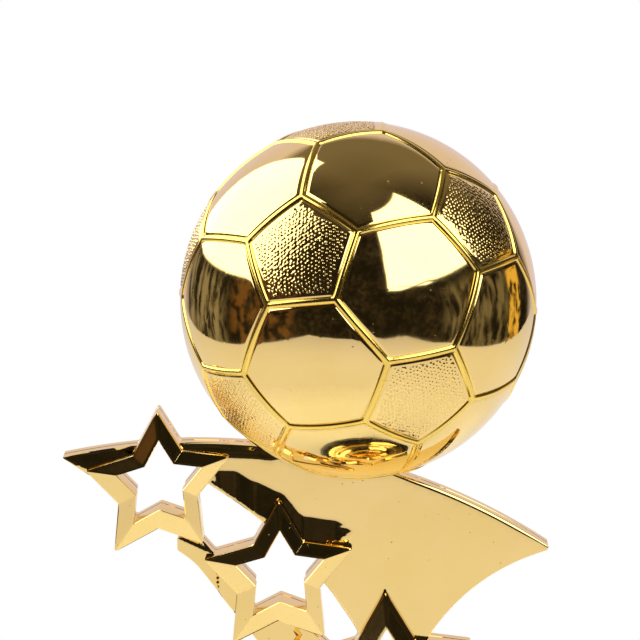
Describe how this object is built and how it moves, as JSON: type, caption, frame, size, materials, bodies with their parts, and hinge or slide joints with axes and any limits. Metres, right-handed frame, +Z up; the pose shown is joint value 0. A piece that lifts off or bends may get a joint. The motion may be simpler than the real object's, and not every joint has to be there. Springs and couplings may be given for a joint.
{
  "type": "football figure trophy",
  "caption": "Tabletop award: a panelled football held in the saddle of a curved wing, with faceted star frames stepping down its front, on a round foot and a weighted black base.",
  "frame": {"origin": "centre of the felt pad's underside, on the axis of the round base", "axes": "+Z up; -Y is the front, which the stars and the name plate face; +X is the viewer's right from the front"},
  "size_m": [0.1146, 0.0832, 0.197],
  "materials": {
    "gold_plating": "mirror-bright gold electroplating on moulded plastic",
    "black_plastic": "polished black plastic",
    "felt": "pressed felt",
    "steel": "bright zinc plated steel",
    "iron": "raw cast iron",
    "plate_gold": "satin brushed gold sheet, blank",
    "tape": "white foam tape"
  },
  "bodies": {
    "root": {"ball_front_shell": "gold_plating", "ball_rear_shell": "gold_plating", "ball_post": "steel", "wing_front": "gold_plating", "wing_rear": "gold_plating", "star_upper": "gold_plating", "star_middle": "gold_plating", "star_lower": "gold_plating", "star_screw_top": "steel", "star_screw_left": "steel", "star_screw_right": "steel", "cross_pin": "steel", "riser_foot": "gold_plating", "base_trim": "gold_plating", "base_body": "black_plastic", "base_weight": "iron", "bottom_cover": "black_plastic", "clamp_rod": "steel", "clamp_nut": "steel", "lock_washer": "steel", "flat_washer": "steel", "foot_nut": "steel", "name_plate": "plate_gold", "name_plate_tape": "tape", "felt_pad": "felt"}
  },
  "joints": []
}
